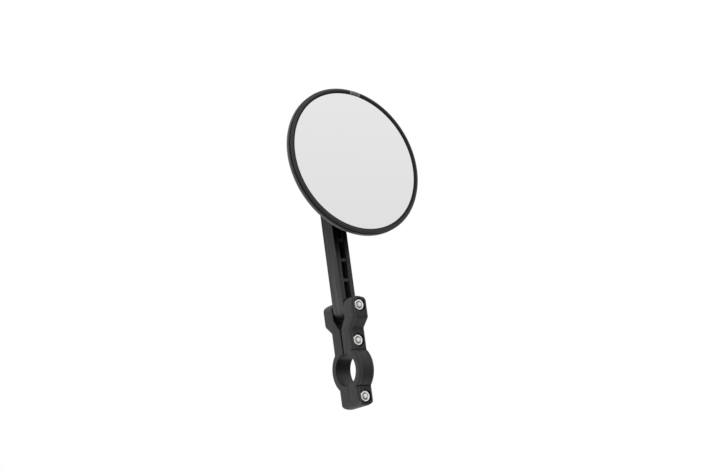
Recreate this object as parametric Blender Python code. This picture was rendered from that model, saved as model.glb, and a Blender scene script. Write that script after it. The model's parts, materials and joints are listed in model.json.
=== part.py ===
"""Round handlebar mirror: two-piece bar clamp, ribbed swing arm, ball joint and round head.

Frame: origin at the centre of the bar bore, halfway across the clamp's width.
X runs along the handlebar, +Z up the arm, and -Y is the rider's side, where the nuts
and the mirror face are. Lengths are in metres and angles in degrees unless named otherwise.
"""
import math

import bmesh
import bpy
from mathutils import Matrix, Vector

MM = 0.001
GAP = 0.3 * MM                    # clearance kept between pieces that touch

# Bar clamp
BORE_RADIUS = 11.1 * MM           # for a 22.2 mm handlebar
CLAMP_HALF_WIDTH = 6.3 * MM
RING_RADIUS = 16.5 * MM
UPPER_FLAT = 11.15 * MM           # split plane to the flat above the ring
LOWER_FLAT = 10.65 * MM            # split plane to the flat below the ring
CHEEK_FACE = 17.5 * MM           # split plane to the outside of a cheek
SLOT_HALF = 6.5 * MM              # split plane to the inside of a cheek
PIVOT_Z = 41.8 * MM
UPPER_SCREW_Z = 18.8 * MM
LOWER_SCREW_Z = -19.6 * MM
CLAMP_TOPS = {-1: PIVOT_Z + 7.1 * MM, 1: PIVOT_Z + 6.2 * MM}     # nuts' half, screw heads' half
CLAMP_BOTTOM = LOWER_SCREW_Z - 6.7 * MM
NECK_Z = 26.9 * MM                # where the cheeks start to spread
CHEEK_FOOT_Z = 32.7 * MM
TOP_CORNER = 4.7 * MM
BOTTOM_CORNER = 2.8 * MM
LONG_EDGE_ROUND = 2.0 * MM
SPLIT_HALF_BOTTOM = 0.15 * MM     # the halves close at the bottom and gape at the top
SPLIT_HALF_TOP = 0.95 * MM

# M4 fasteners
SCREW_RADIUS = 2.0 * MM
SCREW_HOLE_RADIUS = SCREW_RADIUS + GAP
NUT_ACROSS_FLATS = 7.0 * MM
NUT_HEIGHT = 3.2 * MM
NUT_SUNK = 0.9 * MM               # outer face of the clamp to the nut's face
NUT_POCKET_ACROSS_FLATS = 8.6 * MM
SCREW_PAST_NUT = 0.3 * MM
SCREW_HEAD_RADIUS = 3.8 * MM
SCREW_HEAD_HEIGHT = 2.2 * MM
SCREW_KEY_ACROSS_FLATS = 2.5 * MM
COUNTERBORE_DEPTH = 2.6 * MM
WASHER_RADIUS = 4.5 * MM
WASHER_HEIGHT = 0.8 * MM

# Swing arm
ARM_HALF_WIDTH = 5.9 * MM
ARM_HALF_DEPTH = 6.2 * MM
ARM_EDGE_ROUND = 0.6 * MM
POCKET_HALF_WIDTH = 2.35 * MM
POCKET_DEPTH = 8.5 * MM
POCKET_START_Z = 48.2 * MM
POCKET_PITCH = 14.1 * MM
POCKET_COUNT = 5
RIB_WIDTH = 2.2 * MM
TOOTH_COUNT = 22
TOOTH_DEPTH = 0.5 * MM
TOOTH_OUTER_RADIUS = 6.3 * MM

# Ball joint
HEAD_TILT = 5.9                   # the glass looks up by this angle
GLASS_CENTRE = Vector((0.0, -33.84 * MM, 138.0 * MM))
BALL_BEHIND_GLASS = 16.0 * MM
BALL_RADIUS = 5.5 * MM
SEAT_WALL = 1.5 * MM
SOCKET_OPENING = 42.0             # half angle of the opening for the stud
SEAT_INNER = BALL_RADIUS + GAP
SEAT_OUTER = SEAT_INNER + SEAT_WALL
SOCKET_INNER = SEAT_OUTER + GAP
SOCKET_OUTER = SOCKET_INNER + 1.6 * MM
STUD_COLLAR_RADIUS = 3.9 * MM
STUD_COLLAR_HEIGHT = 1.5 * MM
STUD_IN_BALL = 1.1 * MM           # the stud's end passes the ball's centre by this much

# Mirror head: depths are measured from the glass plane towards the arm
HEAD_RADIUS = 53.2 * MM
BEZEL_RADIUS = 52.5 * MM
VIEW_RADIUS = 49.4 * MM
SLOPE_WIDTH = 1.4 * MM            # inner slope of the bezel, down to the glass
GLASS_RADIUS = 50.3 * MM
GLASS_DEPTHS = (0.15 * MM, 2.15 * MM)
BEZEL_SEAM = 0.35 * MM             # a groove runs round the head from here to the shell's front
SKIRT_DEPTH = 2.6 * MM
SHELL_FRONT = 0.85 * MM
SHELL_WALL = 1.2 * MM
SHELL_FLOOR_WALL = 1.6 * MM
SHELL_CORNER_DEPTH = 4.5 * MM
SHELL_DOME = 5.7 * MM
BACK_PAD_RADIUS = 15.2 * MM
BACK_PAD_DEPTH = 11.5 * MM
BOSS_FRONT = 6.1 * MM
BOSS_RADIUS = 14.8 * MM
PAD_RIB_FRONT = 3.9 * MM
PAD_DEPTHS = (2.45 * MM, 3.6 * MM)
PAD_RADII = (17.0 * MM, 45.5 * MM)
RETAINER_DEPTHS = (4.6 * MM, 5.8 * MM)
RETAINER_HOLE_RADIUS = 2.5 * MM
RETAINER_SCREW_CIRCLE = 11.2 * MM
RETAINER_SCREW_START = 35.0       # angle of the first screw from +X
RETAINER_SCREW_RADIUS = 1.25 * MM
RETAINER_SCREW_TIP = 10.1 * MM
RETAINER_HEAD_RADIUS = 2.3 * MM
RETAINER_HEAD_HEIGHT = 1.4 * MM
INSERT_ANGLE = 12.7               # from the top of the bezel towards +X
INSERT_HALF_ANGLE = 4.5
INSERT_FLOOR = 0.45 * MM

FINE = 48                         # sides of the head's round pieces
MEDIUM = 24
SMALL = 16

LOOKING_TO_RIDER = Matrix.Rotation(math.radians(90.0), 4, "X")     # local +Z becomes -Y


def clear_scene():
    for item in list(bpy.data.objects):
        bpy.data.objects.remove(item, do_unlink=True)


def material(name, colour, roughness, metallic=0.0):
    result = bpy.data.materials.new(name)
    result.use_nodes = True
    shader = result.node_tree.nodes["Principled BSDF"]
    shader.inputs["Base Color"].default_value = (*colour, 1.0)
    shader.inputs["Roughness"].default_value = roughness
    shader.inputs["Metallic"].default_value = metallic
    return result


def arc(centre, radius, start, end, steps):
    """Points on a circle from one angle to the other, both ends included."""
    points = []
    for i in range(steps + 1):
        angle = math.radians(start + (end - start) * i / steps)
        points.append((centre[0] + radius * math.cos(angle), centre[1] + radius * math.sin(angle)))
    return points


def regular_outline(sides, radius, turn=0.0):
    return arc((0.0, 0.0), radius, turn, turn + 360.0 - 360.0 / sides, sides - 1)


def hexagon(across_flats):
    """A hexagon with one corner up the second axis."""
    return regular_outline(6, across_flats / math.sqrt(3.0), 90.0)


def finish_mesh(bm, name):
    bmesh.ops.recalc_face_normals(bm, faces=bm.faces)
    mesh = bpy.data.meshes.new(name)
    bm.to_mesh(mesh)
    bm.free()
    mesh.shade_smooth()
    mesh.set_sharp_from_angle(angle=math.radians(32.0))
    return mesh


def prism_bmesh(outline, low, high, along):
    """Extrude an outline along X (outline in Y, Z), Y (outline in X, Z) or Z (outline in X, Y)."""
    place = {"X": lambda u, v, h: (h, u, v), "Y": lambda u, v, h: (u, h, v),
             "Z": lambda u, v, h: (u, v, h)}[along]
    bm = bmesh.new()
    bottom = [bm.verts.new(place(u, v, low)) for u, v in outline]
    top = [bm.verts.new(place(u, v, high)) for u, v in outline]
    count = len(outline)
    bm.faces.new(bottom)
    bm.faces.new(list(reversed(top)))
    for i in range(count):
        j = (i + 1) % count
        bm.faces.new((bottom[j], bottom[i], top[i], top[j]))
    return bm


def prism(name, outline, low, high, along="Z"):
    return finish_mesh(prism_bmesh(outline, low, high, along), name)


def revolve(name, profile, sides):
    """Turn a closed profile of (radius, height) points about Z."""
    bm = bmesh.new()
    rows = []
    for radius, height in profile:
        if radius < 1e-7:
            rows.append([bm.verts.new((0.0, 0.0, height))] * sides)
            continue
        row = []
        for i in range(sides):
            angle = math.tau * i / sides
            row.append(bm.verts.new((radius * math.cos(angle), radius * math.sin(angle), height)))
        rows.append(row)
    for this, following in zip(rows, rows[1:] + rows[:1]):
        for i in range(sides):
            j = (i + 1) % sides
            corners = []
            for vert in (this[i], this[j], following[j], following[i]):
                if vert not in corners:
                    corners.append(vert)
            if len(corners) > 2:
                bm.faces.new(corners)
    return finish_mesh(bm, name)


def sweep_sector(name, profile, start, end, steps):
    """Turn a closed (radius, height) profile about Z from one angle to another, with end caps."""
    bm = bmesh.new()
    rows = []
    for i in range(steps + 1):
        angle = math.radians(start + (end - start) * i / steps)
        rows.append([bm.verts.new((r * math.cos(angle), r * math.sin(angle), h)) for r, h in profile])
    for this, following in zip(rows, rows[1:]):
        for i in range(len(profile)):
            j = (i + 1) % len(profile)
            bm.faces.new((this[i], this[j], following[j], following[i]))
    bm.faces.new(rows[0])
    bm.faces.new(list(reversed(rows[-1])))
    return finish_mesh(bm, name)


def empty(name, location, rotation=None):
    result = bpy.data.objects.new(name, None)
    bpy.context.scene.collection.objects.link(result)
    result.matrix_world = Matrix.Translation(location) @ (rotation or Matrix.Identity(4))
    return result


def piece(name, mesh, look, location=(0.0, 0.0, 0.0), rotation=None, parent=None):
    """Add one sub-part; its location and rotation are in its parent's frame."""
    result = bpy.data.objects.new(name, mesh)
    bpy.context.scene.collection.objects.link(result)
    result.data.materials.append(look)
    result.parent = parent
    result.matrix_local = Matrix.Translation(location) @ (rotation or Matrix.Identity(4))
    return result


def boolean(target, mesh, operation="DIFFERENCE", location=(0.0, 0.0, 0.0), rotation=None):
    """Combine a mesh, placed in the target's own frame, with the target."""
    cutter = bpy.data.objects.new(mesh.name, mesh)
    bpy.context.scene.collection.objects.link(cutter)
    cutter.parent = target
    cutter.matrix_local = Matrix.Translation(location) @ (rotation or Matrix.Identity(4))
    cutter.hide_render = True
    cutter.display_type = "WIRE"
    modifier = target.modifiers.new(mesh.name, "BOOLEAN")
    modifier.operation = operation
    modifier.solver = "EXACT"
    modifier.object = cutter


def split_half(z):
    """Half the gap between the clamp halves at a height; it widens above the bore's lower side."""
    share = max(0.0, (z + BORE_RADIUS) / (NECK_Z + BORE_RADIUS))
    return SPLIT_HALF_BOTTOM + (SPLIT_HALF_TOP - SPLIT_HALF_BOTTOM) * share


def ring_angle(flat):
    return math.degrees(math.acos(flat / RING_RADIUS))


def bore_point(z):
    return split_half(z), math.copysign(math.sqrt(BORE_RADIUS ** 2 - split_half(z) ** 2), z)


def clamp_outer_path(top):
    """Outside of one half in (distance from the split plane, z), from the bottom to the top."""
    corner = BOTTOM_CORNER
    path = [(split_half(CLAMP_BOTTOM), CLAMP_BOTTOM)]
    path += arc((LOWER_FLAT - corner, CLAMP_BOTTOM + corner), corner, -90.0, 0.0, 4)
    path += arc((0.0, 0.0), RING_RADIUS, -ring_angle(LOWER_FLAT), ring_angle(UPPER_FLAT), 12)
    path.append((UPPER_FLAT, NECK_Z))
    path.append((CHEEK_FACE, CHEEK_FOOT_Z))
    path += arc((CHEEK_FACE - TOP_CORNER, top - TOP_CORNER), TOP_CORNER, 0.0, 90.0, 4)
    path.append((SLOT_HALF, top))
    return path


def clamp_inner_path():
    """Inside of one half: the slot, its V floor, the split plane and the bore."""
    path = [(SLOT_HALF, 35.0 * MM), (5.4 * MM, 33.6 * MM), (3.7 * MM, 31.2 * MM)]
    path.append((split_half(NECK_Z), NECK_Z + GAP))
    top = bore_point(BORE_RADIUS)
    bottom = bore_point(-BORE_RADIUS)
    start = math.degrees(math.atan2(top[1], top[0]))
    end = math.degrees(math.atan2(bottom[1], bottom[0]))
    path += arc((0.0, 0.0), BORE_RADIUS, start, end, 18)
    return path


def clamp_half_mesh(name, side):
    outer = clamp_outer_path(CLAMP_TOPS[side])
    outline = outer + clamp_inner_path()
    outline = [(side * y, z) for y, z in outline]
    bm = prism_bmesh(outline, -CLAMP_HALF_WIDTH, CLAMP_HALF_WIDTH, "X")
    bm.verts.ensure_lookup_table()
    long_edges = []
    for cap in (0, len(outline)):
        for i in range(len(outer) - 1):
            edge = bm.edges.get((bm.verts[cap + i], bm.verts[cap + i + 1]))
            long_edges.append(edge)
    bmesh.ops.recalc_face_normals(bm, faces=bm.faces)
    bmesh.ops.bevel(bm, geom=long_edges, offset=LONG_EDGE_ROUND, offset_type="OFFSET", segments=3,
                    profile=0.5, affect="EDGES", clamp_overlap=False)
    return finish_mesh(bm, name)


def stadium(low, high, half_width, steps):
    """Outline in (x, z) with round ends centred at the two heights."""
    return arc((0.0, high), half_width, 0.0, 180.0, steps) + arc((0.0, low), half_width, 180.0, 360.0, steps)


def serration_cutter(name, crest, root, away):
    """A disc whose one face is a ring of radial V teeth; its height runs along Z."""
    bm = bmesh.new()
    rows = []
    for i in range(2 * TOOTH_COUNT):
        angle = math.pi * i / TOOTH_COUNT
        tooth = crest if i % 2 else root
        ring = []
        for radius, height in ((1.4 * MM, tooth), (TOOTH_OUTER_RADIUS, tooth),
                               (TOOTH_OUTER_RADIUS, away), (1.4 * MM, away)):
            ring.append(bm.verts.new((radius * math.cos(angle), radius * math.sin(angle), height)))
        rows.append(ring)
    for this, following in zip(rows, rows[1:] + rows[:1]):
        for i in range(4):
            j = (i + 1) % 4
            bm.faces.new((this[i], this[j], following[j], following[i]))
    return finish_mesh(bm, name)


def nut_pocket(name, depth):
    """A hexagonal pocket with a broken edge, cut from the face at height zero down to -depth."""
    mouth = hexagon(NUT_POCKET_ACROSS_FLATS + 0.4 * MM)
    throat = hexagon(NUT_POCKET_ACROSS_FLATS)
    bm = bmesh.new()
    levels = ((throat, -depth), (throat, -0.2 * MM), (mouth, 0.02 * MM), (mouth, 2.0 * MM))
    rows = [[bm.verts.new((u, v, h)) for u, v in outline] for outline, h in levels]
    for this, following in zip(rows, rows[1:]):
        for i in range(6):
            j = (i + 1) % 6
            bm.faces.new((this[i], this[j], following[j], following[i]))
    bm.faces.new(rows[0])
    bm.faces.new(list(reversed(rows[-1])))
    return finish_mesh(bm, name)


def add_clamp_half(name, side, look):
    """side is -1 for the nuts' half and +1 for the screw heads' half."""
    half = piece(name, clamp_half_mesh(name, side), look)
    ends = stadium(CLAMP_BOTTOM + CLAMP_HALF_WIDTH, CLAMP_TOPS[side] - CLAMP_HALF_WIDTH,
                   CLAMP_HALF_WIDTH, 12)
    boolean(half, prism(name + "_ends", ends, -20.0 * MM, 20.0 * MM, "Y"), "INTERSECT")
    hole = regular_outline(SMALL, SCREW_HOLE_RADIUS)
    for label, z, face in clamp_stations():
        place = (0.0, side * face, z)
        boolean(half, prism(name + label + "_hole", hole, -25.0 * MM, 25.0 * MM),
                location=place, rotation=LOOKING_TO_RIDER)
        if side < 0:
            pocket = nut_pocket(name + label + "_pocket", NUT_HEIGHT + NUT_SUNK + GAP)
            boolean(half, pocket, location=place, rotation=LOOKING_TO_RIDER)
        else:
            bore = regular_outline(MEDIUM, WASHER_RADIUS + GAP)
            boolean(half, prism(name + label + "_bore", bore, -2.0 * MM, COUNTERBORE_DEPTH),
                    location=place, rotation=LOOKING_TO_RIDER)
    if side > 0:
        crest = -(SLOT_HALF + 0.05 * MM)
        teeth = serration_cutter(name + "_teeth", crest, crest - TOOTH_DEPTH, -SLOT_HALF + 2.0 * MM)
        boolean(half, teeth, location=(0.0, 0.0, PIVOT_Z), rotation=LOOKING_TO_RIDER)
    return half


def clamp_stations():
    """Each cross screw: its label, its height and the distance of the outer face it sits in."""
    return (("_pivot", PIVOT_Z, CHEEK_FACE), ("_upper", UPPER_SCREW_Z, UPPER_FLAT),
            ("_lower", LOWER_SCREW_Z, LOWER_FLAT))


def add_nut(name, look, location, rotation, parent=None):
    """An M4 hexagon nut whose lower face is at its origin."""
    nut = piece(name, prism(name, hexagon(NUT_ACROSS_FLATS), 0.0, NUT_HEIGHT), look,
                location, rotation, parent)
    hole = regular_outline(SMALL, SCREW_HOLE_RADIUS)
    boolean(nut, prism(name + "_hole", hole, -MM, NUT_HEIGHT + MM))
    return nut


def add_button_screw(name, length, look, location):
    """A button-head screw with a hexagon socket; the underside of the head is at its origin."""
    head = [(SCREW_HEAD_RADIUS, 0.0), (SCREW_HEAD_RADIUS, -0.4 * MM), (3.3 * MM, -1.4 * MM),
            (2.2 * MM, -SCREW_HEAD_HEIGHT), (0.0, -SCREW_HEAD_HEIGHT)]
    shank = [(0.0, length), (SCREW_RADIUS - 0.3 * MM, length), (SCREW_RADIUS, length - 0.4 * MM),
             (SCREW_RADIUS, 0.0)]
    screw = piece(name, revolve(name, head + shank, SMALL), look, location, LOOKING_TO_RIDER)
    socket = prism(name + "_socket", hexagon(SCREW_KEY_ACROSS_FLATS), -4.0 * MM, -0.8 * MM)
    boolean(screw, socket)
    return screw


def add_clamp_fasteners(steel, zinc):
    washer_space = {"_pivot": WASHER_HEIGHT + GAP}
    for label, z, face in clamp_stations():
        under_head = face - COUNTERBORE_DEPTH + GAP + washer_space.get(label, 0.0)
        tip = face - NUT_SUNK + SCREW_PAST_NUT
        add_button_screw(label[1:] + "_screw", under_head + tip, zinc, (0.0, under_head, z))
        nut_seat = -(face - NUT_SUNK - NUT_HEIGHT)
        add_nut(label[1:] + "_nut", steel, (0.0, nut_seat, z), LOOKING_TO_RIDER)
    washer_seat = CHEEK_FACE - COUNTERBORE_DEPTH + GAP
    piece("pivot_washer", washer("pivot_washer"), steel, (0.0, washer_seat + WASHER_HEIGHT, PIVOT_Z),
          LOOKING_TO_RIDER)


def washer(name):
    inner = SCREW_HOLE_RADIUS
    profile = [(inner, 0.0), (WASHER_RADIUS, 0.0), (WASHER_RADIUS, WASHER_HEIGHT), (inner, WASHER_HEIGHT)]
    return revolve(name, profile, MEDIUM)


def arm_mesh(top):
    """The arm in its pivot's frame: a bar with round ends and softened long edges."""
    outline = stadium(0.0, top, ARM_HALF_WIDTH, 12)
    bm = prism_bmesh(outline, -ARM_HALF_DEPTH, ARM_HALF_DEPTH, "Y")
    rims = [edge for edge in bm.edges if abs(edge.verts[0].co.y - edge.verts[1].co.y) < GAP]
    bmesh.ops.recalc_face_normals(bm, faces=bm.faces)
    bmesh.ops.bevel(bm, geom=rims, offset=ARM_EDGE_ROUND, offset_type="OFFSET", segments=2,
                    profile=0.5, affect="EDGES", clamp_overlap=False)
    return finish_mesh(bm, "arm")


def add_arm(look, pivot, ball):
    top = ball.z - PIVOT_Z
    arm = piece("arm", arm_mesh(top), look, parent=pivot)
    for i in range(POCKET_COUNT):
        low = POCKET_START_Z - PIVOT_Z + i * POCKET_PITCH
        high = low + POCKET_PITCH - RIB_WIDTH
        half = POCKET_HALF_WIDTH
        outline = [(-half, low), (half, low), (half, high), (-half, high)]
        pocket = prism("arm_pocket_%d" % i, outline, -ARM_HALF_DEPTH - MM,
                       -ARM_HALF_DEPTH + POCKET_DEPTH, "Y")
        boolean(arm, pocket)
    hole = regular_outline(SMALL, SCREW_HOLE_RADIUS)
    for label, z in (("pivot", 0.0), ("stud", top)):
        boolean(arm, prism("arm_%s_hole" % label, hole, -20.0 * MM, 20.0 * MM),
                location=(0.0, 0.0, z), rotation=LOOKING_TO_RIDER)
    bore = regular_outline(MEDIUM, WASHER_RADIUS + GAP)
    boolean(arm, prism("arm_nut_bore", bore, -10.0 * MM, -nut_bore_floor()),
            location=(0.0, 0.0, top), rotation=LOOKING_TO_RIDER)
    crest = -(ARM_HALF_DEPTH - 0.05 * MM)
    boolean(arm, serration_cutter("arm_teeth", crest, crest + TOOTH_DEPTH, -ARM_HALF_DEPTH - 2.0 * MM),
            rotation=LOOKING_TO_RIDER)
    return arm


def nut_bore_floor():
    """How far behind the arm's middle the stud nut's counterbore ends."""
    return ARM_HALF_DEPTH + GAP - NUT_HEIGHT - WASHER_HEIGHT - 2.0 * GAP


def add_ball_stud(steel, pivot, ball):
    """The stud and what clamps it to the arm; heights run from the arm's middle to the rider."""
    place = Vector((0.0, 0.0, ball.z - PIVOT_Z))
    collar_base = ARM_HALF_DEPTH + GAP
    tip = -ball.y + STUD_IN_BALL
    tail = -(ARM_HALF_DEPTH + 0.7 * MM)
    r = SCREW_RADIUS
    profile = [(0.0, tail), (r - 0.3 * MM, tail), (r, tail + 0.4 * MM), (r, collar_base),
               (STUD_COLLAR_RADIUS, collar_base), (STUD_COLLAR_RADIUS, collar_base + STUD_COLLAR_HEIGHT),
               (r, collar_base + STUD_COLLAR_HEIGHT), (r, tip), (0.0, tip)]
    piece("ball_stud", revolve("ball_stud", profile, SMALL), steel, place, LOOKING_TO_RIDER, pivot)
    washer_front = Vector((0.0, nut_bore_floor() + GAP + WASHER_HEIGHT, 0.0))
    piece("stud_washer", washer("stud_washer"), steel, place + washer_front, LOOKING_TO_RIDER, pivot)
    nut_front = washer_front + Vector((0.0, GAP + NUT_HEIGHT, 0.0))
    add_nut("stud_nut", steel, place + nut_front, LOOKING_TO_RIDER, pivot)


def add_ball(look, ball):
    hole_radius = SCREW_RADIUS + GAP
    hole_end = STUD_IN_BALL + GAP
    mouth = math.degrees(math.asin(hole_radius / BALL_RADIUS))
    surface = arc((0.0, 0.0), BALL_RADIUS, -90.0 + mouth, 90.0, 10)
    surface[-1] = (0.0, BALL_RADIUS)
    profile = surface + [(0.0, hole_end), (hole_radius, hole_end)]
    piece("ball", revolve("ball", profile, MEDIUM), look, ball, LOOKING_TO_RIDER)


def add_socket_seat(look, ball):
    """A thin spherical cup round the ball, open towards the arm."""
    outer = arc((0.0, 0.0), SEAT_OUTER, -90.0 + SOCKET_OPENING, 90.0, 9)
    inner = arc((0.0, 0.0), SEAT_INNER, 90.0, -90.0 + SOCKET_OPENING, 9)
    outer[-1] = (0.0, SEAT_OUTER)
    inner[0] = (0.0, SEAT_INNER)
    piece("socket_seat", revolve("socket_seat", outer + inner, MEDIUM), look, ball, LOOKING_TO_RIDER)


def ahead(depth):
    """Height in the head's frame, whose origin is the ball's centre, of a depth behind the glass."""
    return BALL_BEHIND_GLASS - depth


def head_profile(points):
    """(radius, depth) points as (radius, height) in the head's frame."""
    return [(radius, ahead(depth)) for radius, depth in points]


def dome_depth(radius):
    """Depth of the shell's outer back surface."""
    edge = HEAD_RADIUS - SHELL_WALL
    return SHELL_CORNER_DEPTH + SHELL_DOME * (1.0 - (radius / edge) ** 2)


def shell_back_points():
    """Outside of the shell from its front edge to the mouth of the socket."""
    corner = SHELL_WALL
    points = [(HEAD_RADIUS - 0.4 * MM, SHELL_FRONT), (HEAD_RADIUS, SHELL_FRONT + 0.4 * MM)]
    points += arc((HEAD_RADIUS - corner, SHELL_CORNER_DEPTH - corner), corner, 0.0, 90.0, 4)
    for millimetres in (46, 38, 30, 22):
        points.append((millimetres * MM, dome_depth(millimetres * MM)))
    points.append((BACK_PAD_RADIUS + MM, dome_depth(BACK_PAD_RADIUS + MM)))
    points.append((BACK_PAD_RADIUS, BACK_PAD_DEPTH - 0.3 * MM))
    points.append((BACK_PAD_RADIUS - 0.6 * MM, BACK_PAD_DEPTH))
    points.append((SOCKET_OUTER, BACK_PAD_DEPTH))
    points += arc((0.0, BALL_BEHIND_GLASS), SOCKET_OUTER, 0.0, 90.0 - SOCKET_OPENING, 5)
    return points


def shell_inside_points():
    """Inside of the shell from the mouth of the socket back to its front edge."""
    points = arc((0.0, BALL_BEHIND_GLASS), SOCKET_INNER, 90.0 - SOCKET_OPENING, 0.0, 6)
    points += [(SOCKET_INNER, BOSS_FRONT), (BOSS_RADIUS, BOSS_FRONT)]
    points.append((BOSS_RADIUS, dome_depth(BOSS_RADIUS) - SHELL_FLOOR_WALL))
    for low, high in ((18.0 * MM, 19.4 * MM), (32.0 * MM, 33.2 * MM)):
        points.append((low, dome_depth(low) - SHELL_FLOOR_WALL))
        points.append((low, PAD_RIB_FRONT))
        points.append((high, PAD_RIB_FRONT))
        points.append((high, dome_depth(high) - SHELL_FLOOR_WALL))
    wall = HEAD_RADIUS - SHELL_WALL
    for radius in (26.0 * MM, 40.0 * MM, 46.5 * MM, wall):
        points.append((radius, dome_depth(radius) - SHELL_FLOOR_WALL))
    points = sorted_inside(points)
    points.append((wall, SHELL_FRONT))
    return points


def sorted_inside(points):
    """Put the floor's in-between points in order of radius after the boss."""
    start = next(i for i, point in enumerate(points) if point[0] >= BOSS_RADIUS)
    return points[:start] + sorted(points[start:], key=lambda point: point[0])


def add_head_shell(look, head):
    profile = head_profile(shell_back_points() + shell_inside_points())
    shell = piece("back_shell", revolve("back_shell", profile, FINE), look, parent=head)
    hole = regular_outline(12, RETAINER_SCREW_RADIUS + GAP)
    for i, place in enumerate(retainer_screw_places()):
        drill = prism("shell_screw_hole_%d" % i, hole, ahead(RETAINER_SCREW_TIP + GAP), ahead(2.0 * MM))
        boolean(shell, drill, location=place)
    return shell


def retainer_screw_places():
    places = []
    for i in range(3):
        angle = math.radians(RETAINER_SCREW_START + 120.0 * i)
        x = RETAINER_SCREW_CIRCLE * math.cos(angle)
        y = RETAINER_SCREW_CIRCLE * math.sin(angle)
        places.append(Vector((x, y, 0.0)))
    return places


def bezel_front_points():
    """Front of the bezel as (radius, depth): a slope up from the glass, a crest and a round edge."""
    inner = VIEW_RADIUS
    crest = VIEW_RADIUS + SLOPE_WIDTH
    outer = BEZEL_RADIUS
    return [(inner, -0.25 * MM), (crest, -0.75 * MM), (crest + 0.6 * MM, -0.7 * MM),
            (outer - 0.6 * MM, -0.5 * MM), (outer - 0.15 * MM, -0.2 * MM), (outer, 0.1 * MM)]


def add_bezel(look, insert_look, head):
    skirt_outer = HEAD_RADIUS - SHELL_WALL - GAP
    skirt_inner = GLASS_RADIUS + GAP
    lip = GLASS_DEPTHS[0] - 0.2 * MM
    points = bezel_front_points()
    points += [(BEZEL_RADIUS, BEZEL_SEAM), (skirt_outer, BEZEL_SEAM), (skirt_outer, SKIRT_DEPTH),
               (skirt_inner, SKIRT_DEPTH), (skirt_inner, lip), (VIEW_RADIUS, lip)]
    bezel = piece("bezel_ring", revolve("bezel_ring", head_profile(points), FINE), look, parent=head)
    middle = 90.0 - INSERT_ANGLE
    notch = head_profile([(VIEW_RADIUS - 2.0 * MM, -3.0 * MM), (HEAD_RADIUS + 2.0 * MM, -3.0 * MM),
                          (HEAD_RADIUS + 2.0 * MM, INSERT_FLOOR), (VIEW_RADIUS - 2.0 * MM, INSERT_FLOOR)])
    boolean(bezel, sweep_sector("bezel_notch", notch, middle - INSERT_HALF_ANGLE,
                                middle + INSERT_HALF_ANGLE, 4))
    half = INSERT_HALF_ANGLE - math.degrees(GAP / HEAD_RADIUS)
    floor = INSERT_FLOOR - 1.5 * GAP
    front = bezel_front_points()[:-2]
    profile = head_profile(front + [(BEZEL_RADIUS - 0.25 * MM, floor), (VIEW_RADIUS, floor)])
    piece("bezel_insert", sweep_sector("bezel_insert", profile, middle - half, middle + half, 6),
          insert_look, parent=head)


def disc_points(inner, outer, depths):
    return head_profile([(inner, depths[1]), (outer, depths[1]), (outer, depths[0]), (inner, depths[0])])


def add_glass_and_pad(glass_look, foam_look, head):
    piece("mirror_glass", revolve("mirror_glass", disc_points(0.0, GLASS_RADIUS, GLASS_DEPTHS), FINE),
          glass_look, parent=head)
    piece("backing_pad", revolve("backing_pad", disc_points(*PAD_RADII, PAD_DEPTHS), FINE),
          foam_look, parent=head)


def add_ball_cap(look, head):
    """The pad that presses on the seat from the front, with a spherical face."""
    outside = SEAT_OUTER
    front = ahead(7.2 * MM)
    cup = arc((0.0, 0.0), SOCKET_INNER, 30.0, 90.0, 5)
    cup[-1] = (0.0, SOCKET_INNER)
    profile = [(0.0, front), (outside, front), (outside, cup[0][1])] + cup
    piece("ball_cap", revolve("ball_cap", profile, MEDIUM), look, parent=head)


def add_disc_spring(look, head):
    profile = head_profile([(3.0 * MM, 6.1 * MM), (7.0 * MM, 6.5 * MM), (7.0 * MM, 6.9 * MM),
                            (3.0 * MM, 6.5 * MM)])
    piece("disc_spring", revolve("disc_spring", profile, MEDIUM), look, parent=head)


def plus_outline(reach, half):
    return [(half, half), (half, reach), (-half, reach), (-half, half), (-reach, half), (-reach, -half),
            (-half, -half), (-half, -reach), (half, -reach), (half, -half), (reach, -half), (reach, half)]


def add_retainer(plate_look, screw_look, head):
    profile = disc_points(RETAINER_HOLE_RADIUS, BOSS_RADIUS, RETAINER_DEPTHS)
    plate = piece("retainer_plate", revolve("retainer_plate", profile, MEDIUM), plate_look, parent=head)
    hole = regular_outline(12, RETAINER_SCREW_RADIUS + GAP)
    tip = ahead(RETAINER_SCREW_TIP)
    under_head = ahead(RETAINER_DEPTHS[0] - GAP)
    top = under_head + RETAINER_HEAD_HEIGHT
    r = RETAINER_SCREW_RADIUS
    for i, place in enumerate(retainer_screw_places()):
        name = "retainer_screw_%d" % (i + 1)
        boolean(plate, prism(name + "_hole", hole, ahead(9.0 * MM), ahead(2.0 * MM)), location=place)
        outline = [(0.0, tip), (0.4 * MM, tip), (r, tip + 1.2 * MM), (r, under_head),
                   (RETAINER_HEAD_RADIUS, under_head), (RETAINER_HEAD_RADIUS, under_head + 0.7 * MM),
                   (1.5 * MM, top), (0.0, top)]
        screw = piece(name, revolve(name, outline, 16), screw_look, place, parent=head)
        recess = prism(name + "_recess", plus_outline(1.1 * MM, 0.3 * MM), top - 0.7 * MM, top + MM)
        boolean(screw, recess)


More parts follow.
